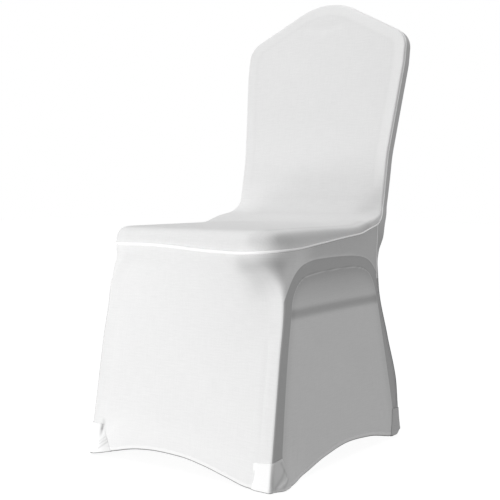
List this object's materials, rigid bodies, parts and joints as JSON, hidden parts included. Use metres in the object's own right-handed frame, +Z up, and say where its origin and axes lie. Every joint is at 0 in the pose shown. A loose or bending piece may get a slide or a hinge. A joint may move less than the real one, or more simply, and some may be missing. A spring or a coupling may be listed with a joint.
{
  "type": "stretch chair cover",
  "caption": "Fitted stretch cover for a banquet chair: a hollow cloth shell with a crown-top back, a corded seat seam, arched hems and foot pockets.",
  "frame": {"origin": "on the floor, below the middle of the cover's box", "axes": "+Z up, -Y towards the front of the seat, +X to the sitter's left, which is the right of the picture"},
  "size_m": [0.4384, 0.5643, 0.9397],
  "materials": {
    "stretch_cloth": "fine white stretch knit, matt",
    "seam_cord": "white seam, slightly brighter than the cloth",
    "pocket_cloth": "doubled white knit, matt"
  },
  "bodies": {
    "root": {"seat_back_panel": "stretch_cloth", "skirt": "stretch_cloth", "rear_panel_lower": "stretch_cloth", "rear_panel_middle": "stretch_cloth", "rear_panel_upper": "stretch_cloth", "seat_seam": "seam_cord", "back_seam": "seam_cord", "rear_seam_left": "seam_cord", "rear_seam_right": "seam_cord", "foot_pocket_front_left": "pocket_cloth", "foot_pocket_front_right": "pocket_cloth", "foot_pocket_rear_left": "pocket_cloth", "foot_pocket_rear_right": "pocket_cloth"}
  },
  "joints": []
}
